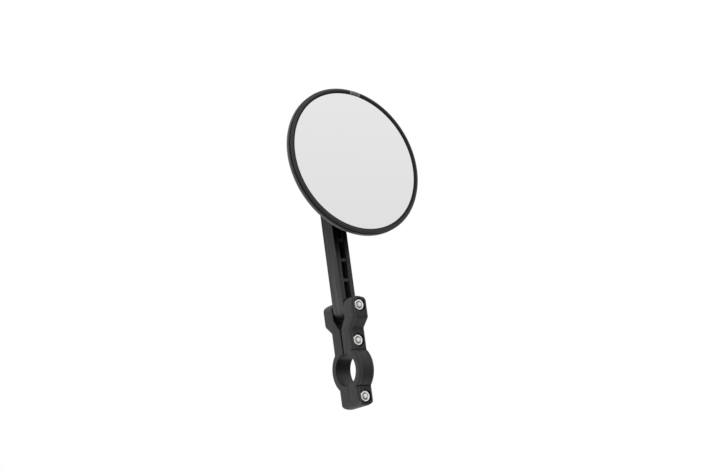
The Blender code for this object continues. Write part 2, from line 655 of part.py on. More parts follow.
def build():
    clear_scene()
    clamp_plastic = material("clamp_plastic", (0.055, 0.053, 0.05), 0.5)
    arm_plastic = material("arm_plastic", (0.065, 0.065, 0.07), 0.42)
    head_plastic = material("head_plastic", (0.035, 0.035, 0.037), 0.4)
    insert_grey = material("insert_grey", (0.16, 0.16, 0.16), 0.5)
    mirror_coat = material("mirror_coat", (0.8, 0.8, 0.8), 0.03, 1.0)
    foam = material("foam", (0.08, 0.08, 0.08), 0.95)
    steel = material("zinc_steel", (0.72, 0.72, 0.7), 0.28, 1.0)
    screw_steel = material("screw_steel", (0.62, 0.62, 0.6), 0.32, 1.0)
    white_plastic = material("white_plastic", (0.75, 0.74, 0.7), 0.35)

    normal = Matrix.Rotation(math.radians(90.0 - HEAD_TILT), 3, "X") @ Vector((0.0, 0.0, 1.0))
    ball = GLASS_CENTRE - BALL_BEHIND_GLASS * normal
    pivot = empty("arm_pivot", Vector((0.0, 0.0, PIVOT_Z)))
    head = empty("head_frame", ball, Matrix.Rotation(math.radians(90.0 - HEAD_TILT), 4, "X"))

    add_clamp_half("clamp_half_nut_side", -1, clamp_plastic)
    add_clamp_half("clamp_half_screw_side", 1, clamp_plastic)
    add_clamp_fasteners(steel, screw_steel)
    add_arm(arm_plastic, pivot, ball)
    add_ball_stud(steel, pivot, ball)
    add_ball(white_plastic, ball)
    add_socket_seat(white_plastic, ball)
    add_head_shell(head_plastic, head)
    add_bezel(head_plastic, insert_grey, head)
    add_glass_and_pad(mirror_coat, foam, head)
    add_ball_cap(white_plastic, head)
    add_disc_spring(steel, head)
    add_retainer(screw_steel, screw_steel, head)


build()
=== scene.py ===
"""Looks of the round handlebar mirror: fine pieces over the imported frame, then light and camera.

Frame: metres, origin at the centre of the bar bore, X along the handlebar, +Z up the arm,
and -Y the rider's side, where the nuts and the mirror face are. Angles are in degrees.
"""
import functools
import json
import math

import bmesh
import bpy
from mathutils import Matrix, Quaternion, Vector


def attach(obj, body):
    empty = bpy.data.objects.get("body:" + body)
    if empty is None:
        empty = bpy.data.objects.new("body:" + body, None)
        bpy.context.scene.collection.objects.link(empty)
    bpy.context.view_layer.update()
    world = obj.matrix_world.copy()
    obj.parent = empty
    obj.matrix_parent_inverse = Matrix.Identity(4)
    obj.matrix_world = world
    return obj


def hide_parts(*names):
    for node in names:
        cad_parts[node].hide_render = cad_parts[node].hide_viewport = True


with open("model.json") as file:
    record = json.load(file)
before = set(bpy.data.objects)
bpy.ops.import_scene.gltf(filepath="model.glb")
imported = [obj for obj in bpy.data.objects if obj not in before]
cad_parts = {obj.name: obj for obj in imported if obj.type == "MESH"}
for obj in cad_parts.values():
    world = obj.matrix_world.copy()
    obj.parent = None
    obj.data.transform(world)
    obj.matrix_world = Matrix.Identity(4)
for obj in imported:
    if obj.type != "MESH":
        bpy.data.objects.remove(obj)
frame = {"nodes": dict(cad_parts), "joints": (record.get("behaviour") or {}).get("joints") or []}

MM = 0.001
GAP = 0.3 * MM                    # clearance between pieces that touch, as in the CAD model

# Bar clamp
BORE_RADIUS = 11.1 * MM
CLAMP_HALF_WIDTH = 6.3 * MM
RING_RADIUS = 16.5 * MM
UPPER_FLAT = 11.15 * MM           # distances of the outer faces from the split plane
LOWER_FLAT = 10.65 * MM
CHEEK_FACE = 17.5 * MM
SLOT_HALF = 6.5 * MM
SLOT_FLOOR = ((SLOT_HALF, 35.0 * MM), (5.4 * MM, 33.6 * MM), (3.7 * MM, 31.2 * MM))    # (y, z)
PIVOT_Z = 41.8 * MM
UPPER_SCREW_Z = 18.8 * MM
LOWER_SCREW_Z = -19.6 * MM
CLAMP_TOPS = {-1: PIVOT_Z + 7.1 * MM, 1: PIVOT_Z + 6.2 * MM}     # nuts' half, screw heads' half
CLAMP_BOTTOM = LOWER_SCREW_Z - 6.7 * MM
NECK_Z = 26.9 * MM
CHEEK_FOOT_Z = 32.7 * MM
TOP_CORNER = 4.7 * MM
BOTTOM_CORNER = 2.8 * MM
FOOT_ROUND = 2.6 * MM
LONG_EDGE_ROUND = 2.0 * MM
SMALL_ROUND = 0.35 * MM
LIP_HEIGHT = 0.25 * MM            # raised lip along both long edges of the outer faces
LIP_START = 4.1 * MM              # how far from the middle of the width the lip stands
LIP_PAINTED_HIGHLIGHT = 4.85 * MM            # where a painted highlight lightens the lip's edge
SPLIT_HALF_BOTTOM = 0.03 * MM
SPLIT_HALF_TOP = 0.95 * MM
OFF_GRID = 0.013 * MM             # keeps a cutter's edges off the edges of what it cuts
END_BLEND = 0.8 * MM              # softness of the clamp's round ends

# M4 fasteners
SCREW_RADIUS = 2.0 * MM
THREAD_PITCH = 0.7 * MM
THREAD_DEPTH = 0.3 * MM
THREAD_LENGTH = 9.0 * MM
SCREW_HOLE_RADIUS = SCREW_RADIUS + GAP
HOLE_REACH = 25.0 * MM            # the cutters of the screw holes go right through
NUT_ACROSS_FLATS = 7.0 * MM
NUT_HEIGHT = 3.2 * MM
NUT_CHAMFER = 0.45 * MM
NUT_MOUTH_RADIUS = 2.75 * MM      # of the countersinks of its thread
NUT_SUNK = 0.9 * MM
NUT_POCKET_ACROSS_FLATS = 8.6 * MM
SCREW_PAST_NUT = 0.3 * MM
SCREW_HEAD_RADIUS = 3.8 * MM
SCREW_HEAD_HEIGHT = 2.2 * MM
SCREW_KEY_ACROSS_FLATS = 2.5 * MM
COUNTERBORE_DEPTH = 2.6 * MM
WASHER_RADIUS = 4.5 * MM
WASHER_HEIGHT = 0.8 * MM

# Swing arm
ARM_HALF_WIDTH = 5.9 * MM
ARM_HALF_DEPTH = 6.2 * MM
ARM_EDGE_ROUND = 0.6 * MM
POCKET_HALF_WIDTH = 2.35 * MM
POCKET_DEPTH = 8.5 * MM
POCKET_START_Z = 48.2 * MM
POCKET_PITCH = 14.1 * MM
POCKET_COUNT = 5
RIB_WIDTH = 2.2 * MM
RIB_SUNK = 0.45 * MM              # ribs end this far below the arm's face
TOOTH_COUNT = 22
TOOTH_DEPTH = 0.5 * MM
TOOTH_OUTER_RADIUS = 6.3 * MM

# Ball joint
HEAD_TILT = 5.9
BALL_BEHIND_GLASS = 16.0 * MM
BALL_RADIUS = 5.5 * MM
SEAT_INNER = BALL_RADIUS + GAP
SEAT_OUTER = SEAT_INNER + 1.5 * MM
SOCKET_OPENING = 42.0
SOCKET_INNER = SEAT_OUTER + GAP
SOCKET_OUTER = SOCKET_INNER + 1.6 * MM
STUD_COLLAR_RADIUS = 3.9 * MM
STUD_COLLAR_HEIGHT = 1.5 * MM
STUD_IN_BALL = 1.1 * MM

# Mirror head: depths are measured from the glass plane towards the arm
HEAD_RADIUS = 53.2 * MM
BEZEL_RADIUS = 52.5 * MM
VIEW_RADIUS = 49.4 * MM
CREST_RADIUS = VIEW_RADIUS + 1.4 * MM      # top of the slope round the glass
GLASS_RADIUS = 50.3 * MM
GLASS_DEPTHS = (0.15 * MM, 2.15 * MM)
BEZEL_SEAM = 0.35 * MM
SKIRT_DEPTH = 2.6 * MM
SHELL_FRONT = 0.85 * MM
SHELL_WALL = 1.2 * MM
SHELL_FLOOR_WALL = 1.6 * MM
SHELL_CORNER_DEPTH = 4.5 * MM
SHELL_DOME = 5.7 * MM
CAP_ROOM_RADIUS = 14.8 * MM       # room in front of the socket for the ball's cap
CAP_ROOM_DEPTH = 6.1 * MM
BACK_PAD_RADIUS = 15.2 * MM
BACK_PAD_DEPTH = 11.5 * MM
INSERT_ANGLE = 12.7
INSERT_HALF_ANGLE = 4.5
INSERT_FLOOR = 0.45 * MM

HEAD_SIDES = 192
ROUND_SIDES = 64
MIX_A, MIX_B, MIX_RESULT = 6, 7, 2         # a Mix node's sockets for colours

# Camera, light and floor; azimuth 0 is the rider's side
CAMERA_TARGET = Vector((-1.52, -21.61, 89.22)) * MM
CAMERA_AZIMUTH = -37.782
CAMERA_ELEVATION = -11.412
CAMERA_ROLL = -7.765
CAMERA_DISTANCE = 1.4
CAMERA_LENS = 105.52
TENT_BACK = Vector((-0.35, 0.75, 0.55)).normalized()      # where the light tent is brightest
TENT_PANEL = Vector((0.60, -0.72, 0.35)).normalized()     # bright panel that the glass mirrors
TENT_BACK_SPREAD = (-0.8, -0.1)                           # cosines from its dimmest to its brightest
TENT_PANEL_SPREAD = (0.86, 0.95)
TENT_DIM = 0.28                                           # brightness of the tent's darkest part
FLOOR_Z = -0.32
FLOOR_RADIUS = 3.0
FLOOR_FRONT = -0.22               # how far towards the rider the floor reaches

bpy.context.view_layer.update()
JOINTS = {joint["name"]: Vector(joint["pos_m"]) for joint in frame["joints"]}
PIVOT = JOINTS["arm_swing"]
BALL = JOINTS["head_tilt"]

IN_PLACE = Matrix.Identity(4)
TO_RIDER = Matrix.Rotation(math.radians(90.0), 4, "X")     # local +Z becomes -Y
HEAD_FRAME = Matrix.Translation(BALL) @ Matrix.Rotation(math.radians(90.0 - HEAD_TILT), 4, "X")


# ------------ outlines

def arc(centre, radius, start, end, steps):
    points = []
    for i in range(steps + 1):
        angle = math.radians(start + (end - start) * i / steps)
        points.append((centre[0] + radius * math.cos(angle), centre[1] + radius * math.sin(angle)))
    return points


def fillet(points, radius, steps=4):
    """Round each corner of a closed outline as far as its sides leave room."""
    result = []
    count = len(points)
    for i, point in enumerate(points):
        corner = Vector(point)
        back = Vector(points[i - 1]) - corner
        ahead = Vector(points[(i + 1) % count]) - corner
        turn = back.angle(ahead)
        reach = min(radius / math.tan(turn / 2.0), 0.45 * back.length, 0.45 * ahead.length)
        if turn > math.radians(170.0):
            result.append(tuple(corner))
            continue
        first = corner + back.normalized() * reach
        last = corner + ahead.normalized() * reach
        for step in range(steps + 1):
            t = step / steps
            bend = first * (1 - t) ** 2 + corner * 2 * t * (1 - t) + last * t ** 2
            result.append(tuple(bend))
    return result


def hexagon(across_flats):
    return arc((0.0, 0.0), across_flats / math.sqrt(3.0), 90.0, 390.0, 5)


def circle(radius, sides=48):
    return arc((0.0, 0.0), radius, 0.0, 360.0 - 360.0 / sides, sides - 1)


def stadium(low, high, half_width, steps):
    top = arc((0.0, high), half_width, 0.0, 180.0, steps)
    return top + arc((0.0, low), half_width, 180.0, 360.0, steps)


def round_off(radius, distance):
    """How far a rounded edge draws back at a distance from the end face."""
    if distance >= radius:
        return 0.0
    return radius - math.sqrt(radius ** 2 - (radius - distance) ** 2)


def inward_normals(outline):
    area = sum(a[0] * b[1] - b[0] * a[1] for a, b in zip(outline, outline[1:] + outline[:1]))
    side = 1.0 if area > 0.0 else -1.0
    normals = []
    for a, b in zip(outline, outline[1:] + outline[:1]):
        run = Vector((b[0] - a[0], b[1] - a[1])).normalized()
        normals.append(Vector((-run.y, run.x)) * side)
    return normals


def drawn_in(outline, distances):
    """Move each side of a closed outline inwards by its own distance."""
    normals = inward_normals(outline)
    moved = []
    for i, point in enumerate(outline):
        before, after = normals[i - 1], normals[i]
        near, far = distances[i - 1], distances[i]
        cross = before.x * after.y - before.y * after.x
        if abs(cross) < 1e-3:
            shift = (before * near + after * far) / 2.0
        else:
            shift = Vector((near * after.y - far * before.y, far * before.x - near * after.x)) / cross
        moved.append((point[0] + shift.x, point[1] + shift.y))
    return moved


# ------------ meshes

def finish_mesh(bm, name, crease=32.0):
    bmesh.ops.remove_doubles(bm, verts=bm.verts, dist=1e-7)
    bmesh.ops.recalc_face_normals(bm, faces=bm.faces)
    mesh = bpy.data.meshes.new(name)
    bm.to_mesh(mesh)
    bm.free()
    mesh.shade_smooth()
    mesh.set_sharp_from_angle(angle=math.radians(crease))
    return mesh


def bridge(bm, rows, closed):
    """Quads between rows of vertices; each row is a loop."""
    pairs = list(zip(rows, rows[1:] + rows[:1])) if closed else list(zip(rows, rows[1:]))
    for this, following in pairs:
        count = len(this)
        for i in range(count):
            j = (i + 1) % count
            corners = []
            for vert in (this[i], this[j], following[j], following[i]):
                if vert not in corners:
                    corners.append(vert)
            if len(corners) > 2:
                bm.faces.new(corners)


def loft(name, rows):
    """A closed body through loops of points, with flat ends."""
    bm = bmesh.new()
    loops = [[bm.verts.new(point) for point in row] for row in rows]
    bridge(bm, loops, closed=False)
    bm.faces.new(loops[0])
    bm.faces.new(list(reversed(loops[-1])))
    return finish_mesh(bm, name)


def prism(name, outline, low, high):
    return loft(name, [[(u, v, h) for u, v in outline] for h in (low, high)])


def ring_row(radius, height, sides=32):
    return [(radius * math.cos(math.tau * i / sides), radius * math.sin(math.tau * i / sides), height)
            for i in range(sides)]


def revolve(name, profile, sides, crease=32.0):
    """Turn a closed profile of (radius, height) points about Z."""
    bm = bmesh.new()
    rows = []
    for radius, height in profile:
        if radius < 1e-7:
            rows.append([bm.verts.new((0.0, 0.0, height))] * sides)
            continue
        rows.append([bm.verts.new(point) for point in ring_row(radius, height, sides)])
    bridge(bm, rows, closed=True)
    return finish_mesh(bm, name, crease)


def sweep_sector(name, profile, start, end, steps):
    """Turn a closed (radius, height) profile about Z from one angle to another, with end caps."""
    rows = []
    for i in range(steps + 1):
        angle = math.radians(start + (end - start) * i / steps)
        rows.append([(r * math.cos(angle), r * math.sin(angle), h) for r, h in profile])
    return loft(name, rows)


def eased_stations(half, steps):
    """Heights from -half to half that crowd towards both ends."""
    return [half * math.sin(math.pi * (i / steps - 0.5)) for i in range(steps + 1)]


def soft_slab(name, outline, edge_round, half, steps=28):
    """Extrude an outline in XZ to both sides along Y, with rounded long edges."""
    rows = []
    for y in eased_stations(half, steps):
        drawn = [round_off(edge_round, half - abs(y))] * len(outline)
        rows.append([(x, y, z) for x, z in drawn_in(outline, drawn)])
    return loft(name, rows)


def add_object(name, data, place=IN_PLACE):
    result = bpy.data.objects.new(name, data)
    bpy.context.scene.collection.objects.link(result)
    result.matrix_world = place
    return result


def carve(mesh, cutters):
    """Cut meshes, each placed by its own matrix, out of a mesh."""
    target = add_object("carving", mesh)
    tools = []
    for cutter, place in cutters:
        tool = add_object("cutter", cutter, place)
        tools.append(tool)
        step = target.modifiers.new("cut", "BOOLEAN")
        step.operation = "DIFFERENCE"
        step.solver = "EXACT"
        step.object = tool
    bpy.context.view_layer.update()
    result = bpy.data.meshes.new_from_object(target.evaluated_get(bpy.context.evaluated_depsgraph_get()))
    result.name = mesh.name
    for item in [target] + tools:
        bpy.data.objects.remove(item, do_unlink=True)
    result.shade_smooth()
    result.set_sharp_from_angle(angle=math.radians(28.0))
    return result


def add_piece(name, mesh, look, body, slot, place, *stands_for):
    piece = add_object(name, mesh, place)
    mesh.materials.clear()
    mesh.materials.append(look)
    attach(piece, body)
    if stands_for:
        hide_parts(*stands_for)
    return piece


# ------------ materials

def grey(value):
    return (value, value, value)


class Look:
    """A Principled material with helpers that add procedural detail to it."""

    def __init__(self, name, colour, roughness, metallic=0.0, specular=0.5):
        self.material = bpy.data.materials.new(name)
        self.material.use_nodes = True
        self.nodes = self.material.node_tree.nodes
        self.links = self.material.node_tree.links
        self.shader = self.nodes["Principled BSDF"]
        self.shader.inputs["Base Color"].default_value = (*colour, 1.0)
        self.shader.inputs["Roughness"].default_value = roughness
        self.shader.inputs["Metallic"].default_value = metallic
        self.shader.inputs["Specular IOR Level"].default_value = specular
        self.coordinates = self.nodes.new("ShaderNodeTexCoord").outputs["Object"]
        self.height = None

    def node(self, kind, **settings):
        result = self.nodes.new(kind)
        for key, value in settings.items():
            setattr(result, key, value)
        return result

    def noise(self, size, detail=3.0, roughness=0.55, stretch=(1.0, 1.0, 1.0)):
        """Noise whose features are about this many metres across."""
        mapping = self.node("ShaderNodeMapping")
        mapping.inputs["Scale"].default_value = tuple(1.0 / (size * share) for share in stretch)
        self.links.new(self.coordinates, mapping.inputs["Vector"])
        noise = self.node("ShaderNodeTexNoise")
        noise.inputs["Scale"].default_value = 1.0
        noise.inputs["Detail"].default_value = detail
        noise.inputs["Roughness"].default_value = roughness
        self.links.new(mapping.outputs["Vector"], noise.inputs["Vector"])
        return noise.outputs["Fac"]

    def ramp(self, source, low, high, start=0.3, end=0.7):
        """Map a value between two numbers or two colours."""
        node = self.node("ShaderNodeValToRGB")
        for element, place, value in zip(node.color_ramp.elements, (start, end), (low, high)):
            element.position = place
            element.color = (*(value if isinstance(value, tuple) else grey(value)), 1.0)
        self.links.new(source, node.inputs["Fac"])
        return node.outputs["Color"]

    def mix(self, share, first, second):
        """The first of two colours where a mask is 0, the second where it is 1."""
        node = self.node("ShaderNodeMix", data_type="RGBA")
        self.links.new(share, node.inputs["Factor"])
        for socket, value in ((node.inputs[MIX_A], first), (node.inputs[MIX_B], second)):
            if isinstance(value, tuple):
                socket.default_value = (*value, 1.0)
            else:
                self.links.new(value, socket)
        return node.outputs[MIX_RESULT]

    def axis(self, name):
        """The piece's own X, Y or Z."""
        split = self.node("ShaderNodeSeparateXYZ")
        self.links.new(self.coordinates, split.inputs["Vector"])
        return split.outputs[name]

    def radius_about(self, axis):
        """Distance from the piece's own X or Z axis."""
        flat = self.node("ShaderNodeVectorMath", operation="MULTIPLY")
        flat.inputs[1].default_value = (0.0, 1.0, 1.0) if axis == "X" else (1.0, 1.0, 0.0)
        self.links.new(self.coordinates, flat.inputs[0])
        length = self.node("ShaderNodeVectorMath", operation="LENGTH")
        self.links.new(flat.outputs["Vector"], length.inputs[0])
        return length.outputs["Value"]

    def compute(self, operation, *values):
        """A Math node on values that are each a socket or a number."""
        node = self.node("ShaderNodeMath", operation=operation)
        for socket, value in zip(node.inputs, values):
            if isinstance(value, float):
                socket.default_value = value
            else:
                self.links.new(value, socket)
        return node.outputs["Value"]

    def near(self, source, place, reach):
        """1 where a value is at a place, falling to 0 at a distance from it."""
        away = self.compute("ABSOLUTE", self.compute("SUBTRACT", source, place))
        return self.between(away, reach, 0.3 * reach)

    def within(self, *masks):
        """Where all of several masks are 1."""
        return functools.reduce(functools.partial(self.compute, "MULTIPLY"), masks)

    def either(self, *masks):
        """Where at least one of several masks is 1."""
        return functools.reduce(functools.partial(self.compute, "MAXIMUM"), masks)

    def distance_along(self, azimuth):
        """Distance from the piece's axis, measured along one direction in its XY plane."""
        along = self.node("ShaderNodeVectorMath", operation="DOT_PRODUCT")
        angle = math.radians(azimuth)
        along.inputs[1].default_value = (math.cos(angle), math.sin(angle), 0.0)
        self.links.new(self.coordinates, along.inputs[0])
        return self.compute("ABSOLUTE", along.outputs["Value"])

    def between(self, source, low, high):
        """0 below low, 1 above high."""
        node = self.node("ShaderNodeMapRange")
        node.inputs["From Min"].default_value = low
        node.inputs["From Max"].default_value = high
        self.links.new(source, node.inputs["Value"])
        return node.outputs["Result"]

    def colour(self, source):
        self.links.new(source, self.shader.inputs["Base Color"])

    def roughness(self, source):
        self.links.new(source, self.shader.inputs["Roughness"])

    def specular(self, source):
        self.links.new(source, self.shader.inputs["Specular IOR Level"])

    def fed(self, name):
        """What feeds one of the shader's sockets now."""
        return self.shader.inputs[name].links[0].from_socket

    def tint(self, mask, value):
        """Turn the colour to a grey where a mask is 1."""
        self.colour(self.mix(mask, self.fed("Base Color"), grey(value)))

    def bump(self, source, height, strength=1.0):
        """Add relief, in metres, on top of what is already there."""
        node = self.node("ShaderNodeBump")
        node.inputs["Distance"].default_value = height
        node.inputs["Strength"].default_value = strength
        self.links.new(source, node.inputs["Height"])
        if self.height is not None:
            self.links.new(self.height, node.inputs["Normal"])
        self.height = node.outputs["Normal"]
        self.links.new(self.height, self.shader.inputs["Normal"])


def moulded_plastic(name, dark, light, roughness, grain, relief, specular=0.5):
    """Black moulded plastic: fine spark-eroded grain, faint flow marks and a few scuffs."""
    look = Look(name, dark, roughness, specular=specular)
    flow = look.noise(9.0 * MM, detail=4.0, stretch=(1.0, 1.0, 2.5))
    look.colour(look.ramp(flow, dark, light, 0.3, 0.75))
    patches = look.noise(1.6 * MM, detail=5.0, roughness=0.65)
    look.roughness(look.ramp(patches, roughness - 0.05, roughness + 0.08))
    look.bump(look.noise(grain, detail=2.0), relief)
    look.bump(look.noise(4.0 * MM, detail=2.0), 4.0 * relief, 0.5)
    return look


def plated_steel(name, base, shade, roughness):
    """Zinc-plated steel with fine turning rings about the piece's own axis."""
    look = Look(name, base, roughness, metallic=1.0)
    stain = look.noise(1.2 * MM, detail=5.0, roughness=0.6)
    look.colour(look.ramp(stain, shade, base, 0.25, 0.6))
    look.roughness(look.ramp(look.noise(0.4 * MM, detail=4.0), roughness - 0.06, roughness + 0.1))
    rings = look.node("ShaderNodeTexWave", wave_type="RINGS", rings_direction="Z")
    rings.inputs["Scale"].default_value = 1.0 / (0.5 * MM)
    rings.inputs["Distortion"].default_value = 0.6
    look.links.new(look.coordinates, rings.inputs["Vector"])
    look.bump(rings.outputs["Fac"], 0.004 * MM)
    look.bump(look.noise(0.25 * MM, detail=3.0), 0.006 * MM)
    return look


def clamp_plastic():
    """Moulded plastic with painted highlights on the lips and high in the bore, and painted shade in the
    corners, the slot and a band in the bore.
    """
    look = moulded_plastic("clamp_plastic", (0.0085, 0.0082, 0.0078), (0.0125, 0.012, 0.0112), 0.5,
                           0.3 * MM, 0.012 * MM)
    across = look.compute("ABSOLUTE", look.axis("X"))
    away = look.compute("ABSOLUTE", look.axis("Y"))
    height = look.axis("Z")
    radius = look.radius_about("X")
    outside = look.within(look.between(away, 8.0 * MM, 9.0 * MM),
                          look.between(radius, BORE_RADIUS + 0.5 * MM, BORE_RADIUS + 0.8 * MM))
    bore = look.between(radius, BORE_RADIUS + 0.25 * MM, BORE_RADIUS + 0.1 * MM)
    # painted highlight: a light line along each lip's edge on the outer faces
    look.tint(look.within(outside, look.near(across, LIP_PAINTED_HIGHLIGHT, 0.55 * MM)), 0.052)
    # painted highlight: a light band high inside the bore
    look.tint(look.within(bore, look.between(height, 8.6 * MM, 9.4 * MM)), 0.024)
    # painted shade: a dark band inside the bore
    band = look.within(bore, look.between(height, -2.0 * MM, 6.0 * MM),
                       look.between(height, 9.2 * MM, 8.2 * MM))
    shade = look.either(band, ring_junction(look, outside, height, UPPER_FLAT, 1.0),
                        ring_junction(look, outside, height, LOWER_FLAT, -1.0),
                        cheek_top(look, away, height), slot_floor(look, across, away, height))
    # painted shade darkens the colour and lowers the gloss in all these places
    look.tint(shade, 0.002)
    look.specular(look.compute("MULTIPLY_ADD", shade, -0.3, 0.5))
    return look


def ring_junction(look, outside, height, flat, side):
    """Painted shade where the clamp's ring meets a flat above or below it."""
    corner = side * math.sqrt(RING_RADIUS ** 2 - flat ** 2)
    return look.within(outside, look.near(height, corner, 0.65 * MM))


def cheek_top(look, away, height):
    # painted shade on the inner edge of the cheeks' tops, beside the arm
    return look.within(look.between(away, 8.2 * MM, 7.6 * MM),
                       look.between(height, PIVOT_Z + 0.8 * MM, PIVOT_Z + 2.0 * MM))


def slot_floor(look, across, away, height):
    # painted shade on the slot's V floor
    inside = look.between(across, CLAMP_HALF_WIDTH - 0.2 * MM, CLAMP_HALF_WIDTH - 0.4 * MM)
    return look.within(inside, look.between(away, SLOT_HALF + 0.1 * MM, SLOT_HALF),
                       look.between(height, NECK_Z + 0.2 * MM, NECK_Z + 0.8 * MM))


def arm_plastic():
    """Moulded plastic with long faint streaks, painted light low on its front face, and painted shade
    that darkens it and lowers its gloss towards the head, blackest on the front right below it.
    """
    look = moulded_plastic("arm_plastic", (0.0105, 0.0105, 0.0115), (0.016, 0.016, 0.0178), 0.42,
                           0.35 * MM, 0.010 * MM)
    height = look.axis("Z")
    front = look.between(look.axis("Y"), -5.6 * MM, -5.9 * MM)
    # painted light: the front face is lighter low down, towards the pivot
    look.tint(look.within(front, look.between(height, 44.0 * MM, 32.0 * MM)), 0.032)
    streaks = look.noise(7.0 * MM, detail=3.0, stretch=(0.35, 0.35, 4.0))
    look.tint(look.between(streaks, 0.47, 0.6), 0.04)
    # painted shade: darker and less glossy towards the head
    head_painted_shade = look.between(height, 0.0, 62.0 * MM)
    look.tint(look.compute("MULTIPLY", head_painted_shade, 0.6), 0.004)
    # painted shade: nearly black on the front face right below the head
    black = look.within(front, look.between(height, 36.0 * MM, 50.0 * MM))
    look.tint(black, 0.0005)
    gloss = look.compute("MULTIPLY_ADD", head_painted_shade, -0.26, 0.48)
    look.specular(look.compute("MULTIPLY", gloss, look.compute("MULTIPLY_ADD", black, -0.85, 1.0)))
    return look


def shell_plastic():
    """Moulded plastic with a painted highlight along its back corner."""
    look = moulded_plastic("shell_plastic", (0.0095, 0.0095, 0.01), (0.0135, 0.0135, 0.014), 0.4,
                           0.25 * MM, 0.008 * MM)
    rim = look.between(look.radius_about("Z"), HEAD_RADIUS - 1.2 * MM, HEAD_RADIUS - 0.8 * MM)
    corner = BALL_BEHIND_GLASS - SHELL_CORNER_DEPTH
    behind = look.between(look.axis("Z"), corner + 2.8 * MM, corner + 0.7 * MM)
    # painted highlight on the shell's rounded back corner
    look.tint(look.within(rim, behind), 0.115)
    return look


def bezel_plastic():
    """The ring's plastic: its inner slope is painted nearly black as painted shade and is matt, its
    front satin.
    """
    look = moulded_plastic("bezel_plastic", (0.0155, 0.0155, 0.016), (0.021, 0.021, 0.022), 0.42,
                           0.22 * MM, 0.006 * MM)
    outside = look.between(look.radius_about("Z"), CREST_RADIUS - 0.15 * MM, CREST_RADIUS + 0.05 * MM)
    # painted shade: the slope round the glass is nearly black
    look.colour(look.mix(outside, grey(0.002), look.fed("Base Color")))
    look.roughness(look.mix(outside, grey(0.75), look.fed("Roughness")))
    return look


def silvered_glass():
    """Mirror: an even bright coat with a painted reflection that makes it a touch darker towards the
    bottom, and faint haze.
    """
    look = Look("silvered_glass", grey(0.8), 0.015, metallic=1.0)
    up = look.between(look.axis("Y"), -GLASS_RADIUS, GLASS_RADIUS)
    # painted reflection: the coat darkens towards the bottom of the glass
    look.colour(look.ramp(up, (0.74, 0.742, 0.742), (0.795, 0.797, 0.797), 0.0, 1.0))
    look.roughness(look.ramp(look.noise(14.0 * MM, detail=5.0), 0.012, 0.03))
    return look


def insert_plastic():
    """Grey plastic of the insert, with painted shade on its inner slope and painted highlights at its
    two ends.
    """
    look = Look("insert_plastic", grey(0.15), 0.5)
    mottled = look.ramp(look.noise(0.8 * MM, detail=5.0), 0.15, 0.19)
    outside = look.between(look.radius_about("Z"), CREST_RADIUS - 0.2 * MM, CREST_RADIUS + 0.1 * MM)
    # painted shade: the slope inside the crest is darker
    face = look.mix(outside, grey(0.11), mottled)
    reach = INSERT_HALF_ANGLE * math.pi / 180.0 * BEZEL_RADIUS
    along = look.distance_along(180.0 - INSERT_ANGLE)
    # painted highlights: the insert's two ends are lighter
    look.colour(look.mix(look.between(along, reach - 1.1 * MM, reach - 0.7 * MM), face, grey(0.36)))
    look.roughness(look.ramp(look.noise(0.5 * MM), 0.42, 0.56))
    look.bump(look.noise(0.2 * MM), 0.01 * MM)
    return look


def white_nylon():
    look = Look("white_nylon", (0.75, 0.74, 0.7), 0.35)
    look.colour(look.ramp(look.noise(3.0 * MM, detail=4.0), (0.7, 0.69, 0.64), (0.78, 0.77, 0.73)))
    look.roughness(look.ramp(look.noise(0.9 * MM), 0.3, 0.42))
    look.bump(look.noise(0.3 * MM), 0.005 * MM)
    look.shader.inputs["Subsurface Weight"].default_value = 0.15
    look.shader.inputs["Subsurface Scale"].default_value = 0.001
    return look


def foam():
    look = Look("closed_cell_foam", grey(0.06), 0.95)
    cells = look.node("ShaderNodeTexVoronoi")
    cells.inputs["Scale"].default_value = 1.0 / (0.7 * MM)
    look.links.new(look.coordinates, cells.inputs["Vector"])
    look.colour(look.ramp(cells.outputs["Distance"], 0.03, 0.09, 0.1, 0.6))
    look.roughness(look.ramp(look.noise(2.0 * MM), 0.85, 1.0))
    look.bump(cells.outputs["Distance"], 0.15 * MM)
    return look


# ------------ clamp

def split_half(z):
    share = max(0.0, (z + BORE_RADIUS) / (NECK_Z + BORE_RADIUS))
    return SPLIT_HALF_BOTTOM + (SPLIT_HALF_TOP - SPLIT_HALF_BOTTOM) * share


def bore_point(z):
    return split_half(z), math.copysign(math.sqrt(BORE_RADIUS ** 2 - split_half(z) ** 2), z)


def ring_angle(flat):
    return math.degrees(math.acos(flat / RING_RADIUS))


def clamp_outer_path(top):
    """Outside of one half in (distance from the split plane, z), from the bottom to the top."""
    corner = BOTTOM_CORNER
    path = [(split_half(CLAMP_BOTTOM), CLAMP_BOTTOM)]
    path += arc((LOWER_FLAT - corner, CLAMP_BOTTOM + corner), corner, -90.0, 0.0, 10)
    path += arc((0.0, 0.0), RING_RADIUS, -ring_angle(LOWER_FLAT), ring_angle(UPPER_FLAT), 44)
    path.append((UPPER_FLAT, NECK_Z - 0.5 * MM))
    path.append((UPPER_FLAT + 0.15 * MM, NECK_Z))
    path.append((UPPER_FLAT + 0.6 * MM, NECK_Z + 0.5 * MM))
    slope = math.atan2(CHEEK_FOOT_Z - NECK_Z, CHEEK_FACE - UPPER_FLAT)
    turn = math.pi / 2.0 - slope
    foot = CHEEK_FOOT_Z + FOOT_ROUND * math.tan(turn / 2.0)
    path += arc((CHEEK_FACE - FOOT_ROUND, foot), FOOT_ROUND, -math.degrees(turn), 0.0, 6)
    path += arc((CHEEK_FACE - TOP_CORNER, top - TOP_CORNER), TOP_CORNER, 0.0, 90.0, 10)
    path.append((SLOT_HALF, top))
    return path


